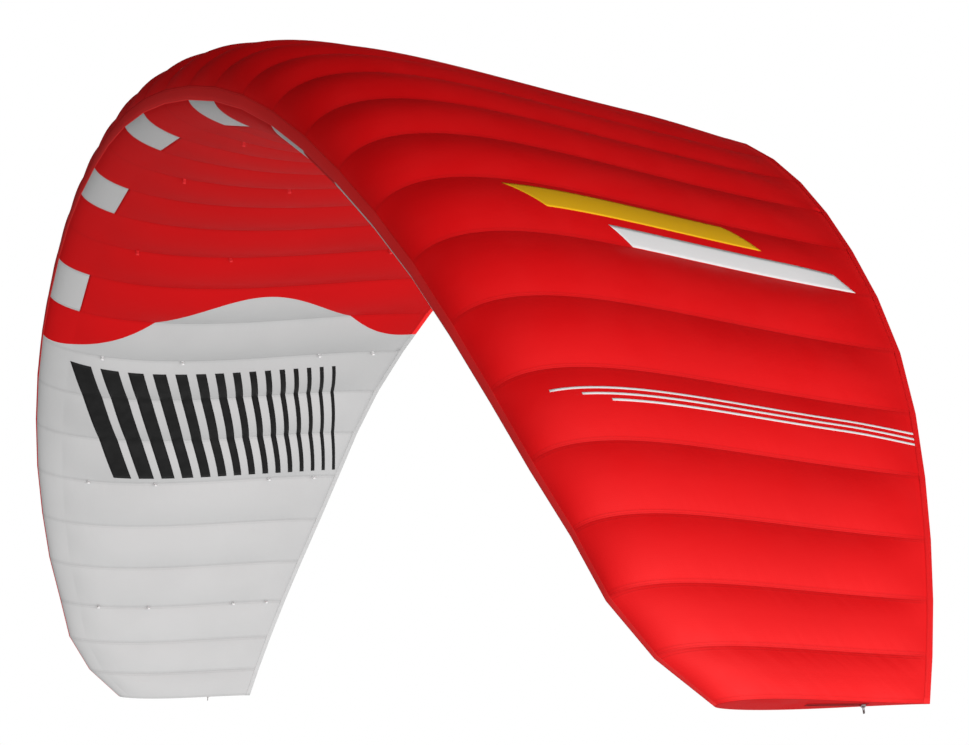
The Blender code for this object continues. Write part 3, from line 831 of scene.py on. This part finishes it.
def span_stripe(side, place, width, first, last, slant):
    """A stripe on the upper skin along a cell, with slanted ends."""
    low, high = (mirrored(place + s * width / 2, side) for s in (-1, 1))

    def spot(row, share):
        q = np.sqrt(first + (last - first) * row + slant * (share - 0.5))
        return low * (1 - share) + high * share, q

    rows = np.linspace(0, 1, STRIPE_ROWS)
    shares = np.linspace(0, 1, max(3, round(width * STRIPE_STEPS)) + 1)
    return print_mesh(rows, shares, spot, side == "right")


def upper_prints(side):
    """A yellow and a white stripe in one cell, and three pinstripes further out."""
    lines = [
        (PINSTRIPE_CELL - PINSTRIPE_SPACING * k, PINSTRIPE_WIDTH, start, PINSTRIPE_END, 0.0)
        for k, start in enumerate(PINSTRIPE_STARTS)
    ]
    kinds = (
        ("yellow_stripe", "yellow_ink", [YELLOW_STRIPE]),
        ("white_stripe", "white_ink", [WHITE_STRIPE]),
        ("pinstripes", "white_ink", lines),
    )
    return [
        printed(f"{kind}_{side}", [span_stripe(side, *one) for one in stripes], ink)
        for kind, ink, stripes in kinds
    ]


# Tapes on the nose and the trailing edge
def nose_tape():
    """The tape over the seam that joins the upper and lower cloth at the nose."""
    rows = steps_between(0, CELLS, CELL_STEPS)
    mesh, place, q = surface(
        "nose_tape", rows, np.linspace(*NOSE_TAPE_SHARES, TAPE_ROWS),
        lambda p, q: skin_point(p, q, NOSE_TAPE_LIFT), True,
    )
    map_cloth(mesh, place, q)
    return thin_piece("nose_tape", mesh, "nose", TAPE_THICKNESS)


def edge_tape():
    """Binding tape folded round the trailing edge, on both skins."""
    def point(row, share):
        chord = np.interp(row, np.arange(CELLS + 1), CHORD)
        border = np.sqrt(np.clip(1 - EDGE_TAPE_REACH / chord, 0, 1))
        off = np.abs(share)
        q = 1 - (1 - border) * np.clip((off - FOLD_SHARE) / (1 - FOLD_SHARE), 0, 1)
        sign = np.where(share < 0, -1.0, 1.0)
        pressed = np.clip((1 - off) / PRESSED_SHARE, 0, 1)
        lift = (EDGE_TAPE_LIFT + EDGE_TAPE_SINK) * pressed - EDGE_TAPE_SINK
        on_skin = skin_point(row, sign * q, lift)
        cell = cell_at(row)
        along = (row - cell)[..., None]
        back = BACK[cell] * (1 - along) + BACK[cell + 1] * along
        up = UP[cell] * (1 - along) + UP[cell + 1] * along
        bend = np.clip(1 - off / FOLD_SHARE, 0, 1) * np.pi / 2
        reached = np.sin(bend)[..., None] * FOLD_REACH
        lifted = (np.cos(bend) - 1)[..., None] * up * sign[..., None]
        tight = EDGE_THICKNESS / 2 + EDGE_TAPE_LIFT
        return on_skin + back * (reached + FOLD_GAP) + lifted * tight * (bend > 0)[..., None]

    rows = steps_between(0, CELLS, CELL_STEPS)
    mesh, row, share = surface("edge_tape", rows, np.linspace(-1, 1, TAPE_ROWS), point, True)
    spans = np.interp(row, np.arange(CELLS + 1), DISTANCES)
    set_uv(mesh, "metres", spans, share * EDGE_TAPE_HALF_WIDTH)
    set_uv(mesh, "cells", row, np.where(share < 0, 1.0, -1.0))
    piece = thin_piece("edge_tape", mesh, "edge_tape", TAPE_THICKNESS)
    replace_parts(piece, "trailing_edge_tape")


# Ribs and attachment loops
RIB_STEPS = 40
ELLIPSE_POINTS = 28
ZIP_SLIT = (0.069, 0.004)
LOOP_HALF = 0.0009
LOOP_EYE = 0.0026
LOOP_TAPE = 0.0007
LOOP_ROOT = 0.001
LOOP_OPENING = 0.35
LOOP_LEG_STEPS = 12
LOOP_BEND_STEPS = 10
LOOP_STEP = 0.0014
LOOP_AIM_SHARE = 0.004


def plate(name, outer, holes, frame_of, thickness):
    """A flat plate with holes, from loops of points in its plane."""
    bm = bmesh.new()
    edges = []
    for loop in (outer, *holes):
        ring = [bm.verts.new(frame_of(x, y, -thickness / 2)) for x, y in loop]
        edges += [bm.edges.new((ring[k - 1], ring[k])) for k in range(len(ring))]
    bmesh.ops.triangle_fill(bm, edges=edges, use_beauty=True)
    sides = bmesh.ops.extrude_face_region(bm, geom=bm.faces[:])
    grown = [part for part in sides["geom"] if isinstance(part, bmesh.types.BMVert)]
    shift = Vector(frame_of(0, 0, thickness)) - Vector(frame_of(0, 0, 0))
    bmesh.ops.translate(bm, verts=grown, vec=shift)
    return finished(bm, name)


def frame_uv(mesh, frame_of):
    """A map in metres along the frame's first two axes."""
    origin = Vector(frame_of(0, 0, 0))
    axes = [Vector(frame_of(*axis)) - origin for axis in ((1, 0, 0), (0, 1, 0))]
    set_uv(mesh, "metres", *([(v.co - origin).dot(axis) for v in mesh.vertices] for axis in axes))


def ellipse(x, y, half_x, half_y):
    angles = np.linspace(0, 2 * np.pi, ELLIPSE_POINTS, endpoint=False)
    return [(x + half_x * math.cos(a), y + half_y * math.sin(a)) for a in angles]


def rib_loop(rib, depth):
    """The rib's outline just inside the skins."""
    q = np.linspace(0, 1, RIB_STEPS + 1)
    q = np.concatenate([q, -q[:0:-1]])
    at = np.full(len(q), rib)
    x, y = outline(at, q)
    out_x, out_y = outward(at, q)
    return list(zip((x - out_x * depth).tolist(), (y - out_y * depth).tolist()))


def rib_frame(rib):
    """Places a rib's own plane in the row frame."""
    nose = Vector(NOSE[rib] - HOLD_POINT)
    back, up, side = (Vector(axis[rib]) for axis in (BACK, UP, SIDE))
    return lambda x, y, z: nose + back * x + up * y + side * z


def depth_at(rib, share):
    """The lowest and highest point of the rib at this share of its chord."""
    q = math.sqrt(share)
    return float(outline(rib, -q)[1]), float(outline(rib, q)[1])


def rib_holes(rib):
    """A tip rib's slit under its zip, or an inner rib's crossports."""
    chord = float(CHORD[rib])
    if rib in (0, CELLS):
        return [ellipse(ZIP_PLACE_SHARE * chord, zip_height(rib), *ZIP_SLIT)]
    holes = []
    for share in PORT_PLACE_SHARES:
        low, high = depth_at(rib, share)
        half = (PORT_LENGTH_SHARE * chord, PORT_HEIGHT_SHARE * (high - low))
        holes.append(ellipse(share * chord, (low + high) / 2, *half))
    return holes


def rib_cloths():
    """Every rib, with its holes."""
    for rib in range(CELLS + 1):
        place_in = rib_frame(rib)
        outer = rib_loop(rib, CLOTH + SEAM_GAP)
        mesh = plate(f"rib_cloth_{rib:02d}", outer, rib_holes(rib), place_in, CLOTH)
        frame_uv(mesh, place_in)
        kind = "tip" if rib in (0, CELLS) else "rib"
        piece = new_piece(mesh.name, mesh, kind)
        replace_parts(piece, {0: "tip_rib_left", CELLS: "tip_rib_right"}.get(rib, f"rib_{rib:02d}"))


def loop_profile():
    """A folded webbing loop in the plane across the rib: side and outward, round to the other leg."""
    half = []
    for t in np.linspace(0, 1, LOOP_LEG_STEPS + 1):
        out = t * (TAB_LENGTH - LOOP_EYE + LOOP_ROOT) - LOOP_ROOT
        opened = math.sin(max(0.0, t - LOOP_OPENING) / (1 - LOOP_OPENING) * math.pi / 2) ** 2
        half.append((LOOP_HALF + (LOOP_EYE - LOOP_HALF) * opened, out))
    centre = TAB_LENGTH - LOOP_EYE
    bend = [
        (LOOP_EYE * math.cos(a), centre + LOOP_EYE * math.sin(a))
        for a in np.linspace(0, math.pi, LOOP_BEND_STEPS + 1)[1:-1]
    ]
    return [*half, *bend, *[(-s, o) for s, o in reversed(half)]]


def webbing_loops():
    """The folded loops that the bridle's lines hold, one object for each row."""
    profile = loop_profile()
    across = (-TAB_WIDTH / 2, 0.0, TAB_WIDTH / 2)
    for row, share in TAB_ROW_SHARES.items():
        bm = bmesh.new()
        ribs = BRAKE_RIBS if row == "brake" else LOADED_RIBS
        for rib in ribs:
            middle, nearer = (
                Vector(rib_point(rib, np.array(q), 0.0) - HOLD_POINT)
                for q in (-share, LOOP_AIM_SHARE - share)
            )
            ahead = (nearer - middle).normalized()
            side = Vector(SIDE[rib])
            out = ahead.cross(side)
            if out.dot(Vector(UP[rib])) > 0:
                out = -out
            verts = [
                [bm.verts.new(middle + side * s + out * o + ahead * a) for a in across]
                for s, o in profile
            ]
            for near, far in zip(verts[:-1], verts[1:]):
                for k in range(2):
                    bm.faces.new((near[k], near[k + 1], far[k + 1], far[k]))
        mesh = finished(bm, f"bridle_loops_{row}")
        mesh.shade_smooth()
        count = len(profile)
        run = np.tile(np.repeat(np.arange(count) * LOOP_STEP, 3), len(ribs))
        set_uv(mesh, "metres", run, np.tile(across, count * len(ribs)))
        beside = np.repeat(np.array(ribs, float), count * 3)
        set_uv(mesh, "cells", beside, np.full(len(beside), share**2))
        piece = new_piece(mesh.name, mesh, "loop")
        add_modifier(piece, "SOLIDIFY", thickness=LOOP_TAPE, offset=0.0)


# Zips
ZIP_CORNER = 0.002
ZIP_GAP_HALF = 0.0007
TOOTH_PITCH = 0.0016
TOOTH_MARGIN = 0.006
TOOTH_HALF_SHARE = 0.42
TOOTH_OVERLAP = 0.14
STOP_MARGIN = 0.0045
STOP_HALF = 0.0012
STOP_REACH = 0.0028
SHIELD_SHARES = ((-1, 0.72), (-0.3, 1), (0.75, 1), (1, 0.6))
FLANGE_SHARE = 0.8
FLANGE_INSET = 0.985
FLANGE_OVERLAP = 0.0001
BRIDGE_SETBACK = 0.0006
BRIDGE_ROOT = 0.0003
BRIDGE_POINTS = 13
PULL_CORNER = 0.0022
PULL_EYE_CORNER = 0.0008
GRIP_MARGIN = 0.0035
GRIP_HALF = 0.0013
GRIP_CORNER = 0.00129
CORNER_POINTS = 5
BEVEL_WIDTH = 0.0003
PULL_BEVEL_WIDTH = 0.00025
BLOCK_FACES = (
    (0, 1, 3, 2), (4, 6, 7, 5), (0, 4, 5, 1), (2, 3, 7, 6), (0, 2, 6, 4), (1, 5, 7, 3),
)


def zip_height(rib):
    """How high over the chord line the zip lies."""
    low, high = depth_at(rib, ZIP_PLACE_SHARE)
    return low + ZIP_HEIGHT_SHARE * (high - low)


def zip_frame(rib, out):
    """The zip's own axes on a tip rib: u towards the trailing edge, v across it, w out of the tip."""
    plane = rib_frame(rib)
    x, y = ZIP_PLACE_SHARE * float(CHORD[rib]), zip_height(rib)
    return lambda u, v, w: plane(x + u, y + v, out * (CLOTH / 2 + w))


def block_mesh(name, blocks, frame_of):
    """Many small blocks in one mesh: each is three ranges, along the frame's own axes."""
    bm = bmesh.new()
    for ranges in blocks:
        corner = [
            bm.verts.new(frame_of(u, v, w))
            for u in ranges[0] for v in ranges[1] for w in ranges[2]
        ]
        for ring in BLOCK_FACES:
            bm.faces.new([corner[k] for k in ring])
    return finished(bm, name)


def rounded(x, half_x, half_y, radius):
    """A rectangle's outline with round corners, about a middle at x."""
    points = []
    for turn, (sx, sy) in enumerate(((1, 1), (-1, 1), (-1, -1), (1, -1))):
        for a in np.linspace(0, math.pi / 2, CORNER_POINTS):
            angle = turn * math.pi / 2 + a
            points.append((
                x + (sx * (half_x - radius) + radius * math.cos(angle)),
                sy * (half_y - radius) + radius * math.sin(angle),
            ))
    return points


def zip_tape(side, frame_of):
    """Both tapes of a zip, which leave a narrow gap between their edges."""
    half_width = (ZIP_TAPE_WIDTH / 2 - ZIP_GAP_HALF) / 2
    outer = rounded(0.0, ZIP_LENGTH / 2, half_width, ZIP_CORNER)
    level = SEAM_GAP + ZIP_TAPE_THICKNESS / 2
    tapes = []
    for middle in (-ZIP_GAP_HALF - half_width, ZIP_GAP_HALF + half_width):
        def on_tape(x, y, z, middle=middle):
            return frame_of(x, middle + y, level + z)

        tapes.append(plate("tape", outer, (), on_tape, ZIP_TAPE_THICKNESS))
    mesh = merged(f"zip_tape_{side}", tapes)
    frame_uv(mesh, frame_of)
    tape = new_piece(mesh.name, mesh, "dark_tape")
    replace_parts(tape, f"deflate_zip_{side}")


def zip_teeth(side, frame_of, tape_top):
    """A zip's closed row of teeth and the stops at its ends."""
    half = ZIP_LENGTH / 2
    rise = (tape_top, tape_top + ZIP_CHAIN_HEIGHT)
    teeth = []
    for k in range(int((ZIP_LENGTH - 2 * TOOTH_MARGIN) / TOOTH_PITCH)):
        u = TOOTH_MARGIN - half + TOOTH_PITCH * (k + 0.5)
        s = 1 if k % 2 else -1
        reach = sorted((s * ZIP_CHAIN_WIDTH / 2, -s * ZIP_CHAIN_WIDTH * TOOTH_OVERLAP))
        grip = TOOTH_PITCH * TOOTH_HALF_SHARE
        teeth.append(((u - grip, u + grip), reach, rise))
    for end in (-1, 1):
        u = end * (half - STOP_MARGIN)
        teeth.append(((u - STOP_HALF, u + STOP_HALF), (-STOP_REACH, STOP_REACH), rise))
    mesh = block_mesh(f"zip_teeth_{side}", teeth, frame_of)
    frame_uv(mesh, frame_of)
    bevelled_piece(mesh.name, mesh, "coil", "wing", BEVEL_WIDTH)


def zip_slider(side, frame_of, tape_top):
    """The slider with its bridge, round the frame's own solid."""
    inner = ZIP_CHAIN_WIDTH / 2 + SLIDER_CLEARANCE
    roof = tape_top + ZIP_CHAIN_HEIGHT + SLIDER_CLEARANCE
    top = roof + SLIDER_WALL
    middle = ZIP_LENGTH / 2 - SLIDER_LENGTH
    length, wide = SLIDER_LENGTH / 2, inner + SLIDER_WALL
    edge = [(length * x, wide * y) for x, y in SHIELD_SHARES]
    shield = [(x, -y) for x, y in edge] + [(x, y) for x, y in reversed(edge)]

    def on_roof(x, y, z):
        return frame_of(middle + x, y, (roof + top) / 2 + z)

    def upright(x, y, z):
        return frame_of(middle + x, z, y)

    parts = [plate("roof", shield, (), on_roof, SLIDER_WALL)]
    along = (middle - length * FLANGE_SHARE, middle + length * FLANGE_SHARE)
    for s in (-1, 1):
        across = sorted((s * inner, s * wide * FLANGE_INSET))
        rise = (tape_top + SLIDER_CLEARANCE, roof + FLANGE_OVERLAP)
        parts.append(block_mesh("flange", [(along, across, rise)], frame_of))
    foot = top - BRIDGE_ROOT
    under = top + BRIDGE_RISE
    reach = length - BRIDGE_SETBACK
    arch = [
        (half * math.cos(a), foot + (height - foot) * math.sin(a) ** 0.5)
        for half, height, ends in (
            (reach, under + BRIDGE_THICKNESS, (math.pi, 0)),
            (reach - BRIDGE_THICKNESS, under, (0, math.pi)),
        )
        for a in np.linspace(*ends, BRIDGE_POINTS)
    ]
    parts.append(plate("bridge", arch, (), upright, BRIDGE_WIDTH))
    mesh = merged(f"slider_{side}", parts)
    node = f"zip_slider_{side}"
    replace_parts(bevelled_piece(mesh.name, mesh, "metal", node, BEVEL_WIDTH), node)
    zip_pull(side, lambda x, y, z: frame_of(middle + z, y, top + BRIDGE_RISE / 2 + x))


def zip_pull(side, hanging):
    """The pull, with the eye that the bridge goes through and a small hole at its free end."""
    start = -PULL_END_BAR / 2
    eye = PULL_EYE_LENGTH / 2
    outer = rounded(start + PULL_LENGTH / 2, PULL_LENGTH / 2, PULL_WIDTH / 2, PULL_CORNER)
    hole = rounded(eye - start, eye, PULL_EYE_WIDTH / 2, PULL_EYE_CORNER)
    grip = rounded(start + PULL_LENGTH - GRIP_MARGIN, GRIP_HALF, GRIP_HALF, GRIP_CORNER)
    mesh = plate(f"pull_{side}", outer, (hole, grip), hanging, PULL_THICKNESS)
    node = f"zip_pull_{side}"
    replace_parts(bevelled_piece(mesh.name, mesh, "metal", node, PULL_BEVEL_WIDTH), node)


def zips():
    """The zip on each tip rib."""
    tape_top = SEAM_GAP + ZIP_TAPE_THICKNESS
    for side, rib, out in (("left", 0, -1), ("right", CELLS, 1)):
        frame_of = zip_frame(rib, out)
        zip_tape(side, frame_of)
        zip_teeth(side, frame_of, tape_top)
        zip_slider(side, frame_of, tape_top)


# Light, floor and camera
CAMERA_PLACE = (8.813303, -2.664762, -1.519388)
CAMERA_RIGHT = (0.338949, 0.940748, -0.010329)
CAMERA_UP = (0.095568, -0.023506, 0.995145)
CAMERA_LENS = 113.32
FLOOR_LEVEL = -2.3
FLOOR_HALF = 15.0
FLOOR_GLOW = 0.5
BACK_LIGHT_STRENGTH = 2.4
BACK_LIGHT_SPREAD = 20
BACK_LIGHT_DROP = 0.2

# Soft lights: how far right, how far up and how near the camera each stands, and its radiance
SOFT_LIGHTS = (
    (0.0, 0.0, 1.0, 0.43),
    (0.6, 0.0, 0.8, 1.6),
    (0.0, -0.6, 0.8, 0.85),
    (1.0, 0.0, 0.0, 0.1),
    (0.6, -0.6, 0.5, 0.75),
    (-0.6, -0.6, 0.5, 0.2),
    (0.0, -0.7, -0.7, 0.45),
)
SOFT_LIGHT_FALLOFF = 3.0


def camera():
    """A camera at the photograph's viewing angle."""
    data = bpy.data.cameras.new("camera")
    data.sensor_width = 36.0
    data.lens = CAMERA_LENS
    made = new_object("camera", data)
    right, up = Vector(CAMERA_RIGHT).normalized(), Vector(CAMERA_UP)
    back = right.cross(up).normalized()
    up = back.cross(right)
    turn = Matrix((right, up, back)).transposed().to_4x4()
    made.matrix_world = Matrix.Translation(Vector(CAMERA_PLACE)) @ turn
    bpy.context.scene.camera = made


def back_light(towards):
    """A soft sun, whose light goes in this direction."""
    data = bpy.data.lights.new("back_light", "SUN")
    data.energy = BACK_LIGHT_STRENGTH
    data.angle = math.radians(BACK_LIGHT_SPREAD)
    made = new_object("back_light", data)
    made.visible_glossy = False
    made.rotation_mode = "QUATERNION"
    made.rotation_quaternion = Vector(towards).to_track_quat("-Z", "Y")


def lights():
    """Soft light from round the camera, and a plain one on the side that faces away from it."""
    right, up = Vector(CAMERA_RIGHT), Vector(CAMERA_UP)
    towards = right.cross(up)
    back_light(towards - up * BACK_LIGHT_DROP)
    world = bpy.data.worlds.new("studio")
    bpy.context.scene.world = world
    world.use_nodes = True
    tree = world.node_tree
    tree.nodes.clear()
    direction = add_node(tree, "TexCoord", {}, "Generated")
    total = 0.0
    for across, above, ahead, radiance in SOFT_LIGHTS:
        source = (right * across + up * above + towards * ahead).normalized()
        keys = {0: direction, 1: source}
        facing = add_node(tree, "VectorMath", keys, "Value", operation="DOT_PRODUCT")
        lobe = add_node(tree, "Math", {0: facing, 1: 0.0}, operation="MAXIMUM")
        lobe = add_node(tree, "Math", {0: lobe, 1: SOFT_LIGHT_FALLOFF}, operation="POWER")
        total = add_node(tree, "Math", {0: lobe, 1: radiance, 2: total}, operation="MULTIPLY_ADD")
    white = rgb(1.0, 1.0, 1.0)
    soft = add_node(tree, "Background", {"Color": white, "Strength": total})
    plain = add_node(tree, "Background", {"Color": white})
    seen = add_node(tree, "LightPath", {}, "Is Camera Ray")
    mixed = add_node(tree, "MixShader", {0: seen, 1: soft, 2: plain})
    out = tree.nodes.new("ShaderNodeOutputWorld")
    tree.links.new(mixed, out.inputs[0])


def floor():
    """A plain pale floor, which neither shades nor colours the wing."""
    mesh = bpy.data.meshes.new("floor")
    half, level = FLOOR_HALF, FLOOR_LEVEL
    corners = [(-half, -half, level), (half, -half, level), (half, half, level), (-half, half, level)]
    mesh.from_pydata(corners, [], [(0, 1, 2, 3)])
    made = new_object("floor", mesh)
    paint = Paint("floor_paint", 0.85, specular=0.1)
    paint.shader.inputs["Emission Color"].default_value = rgb(1.0, 1.0, 1.0)
    paint.shader.inputs["Emission Strength"].default_value = FLOOR_GLOW
    tone = paint.ramp(paint.noise(3.0), 0.3, 0.7)
    paint.colour(paint.mix(tone, rgb(0.80, 0.80, 0.80), rgb(0.84, 0.84, 0.84)))
    mesh.materials.append(paint.material)
    made.visible_diffuse = False
    made.visible_glossy = False
    made.visible_shadow = False


def main():
    camera()
    rib_cloths()
    made = skins()
    inlets()
    prints = {("lower", side): [slanted_bars(side)] for side in ("left", "right")}
    prints.update({("upper", side): upper_prints(side) for side in ("left", "right")})
    prints["upper", "centre"] = [nose_tape()]
    edge_tape()
    webbing_loops()
    zips()
    lights()
    floor()
    bpy.context.scene.view_settings.view_transform = "Standard"


main()
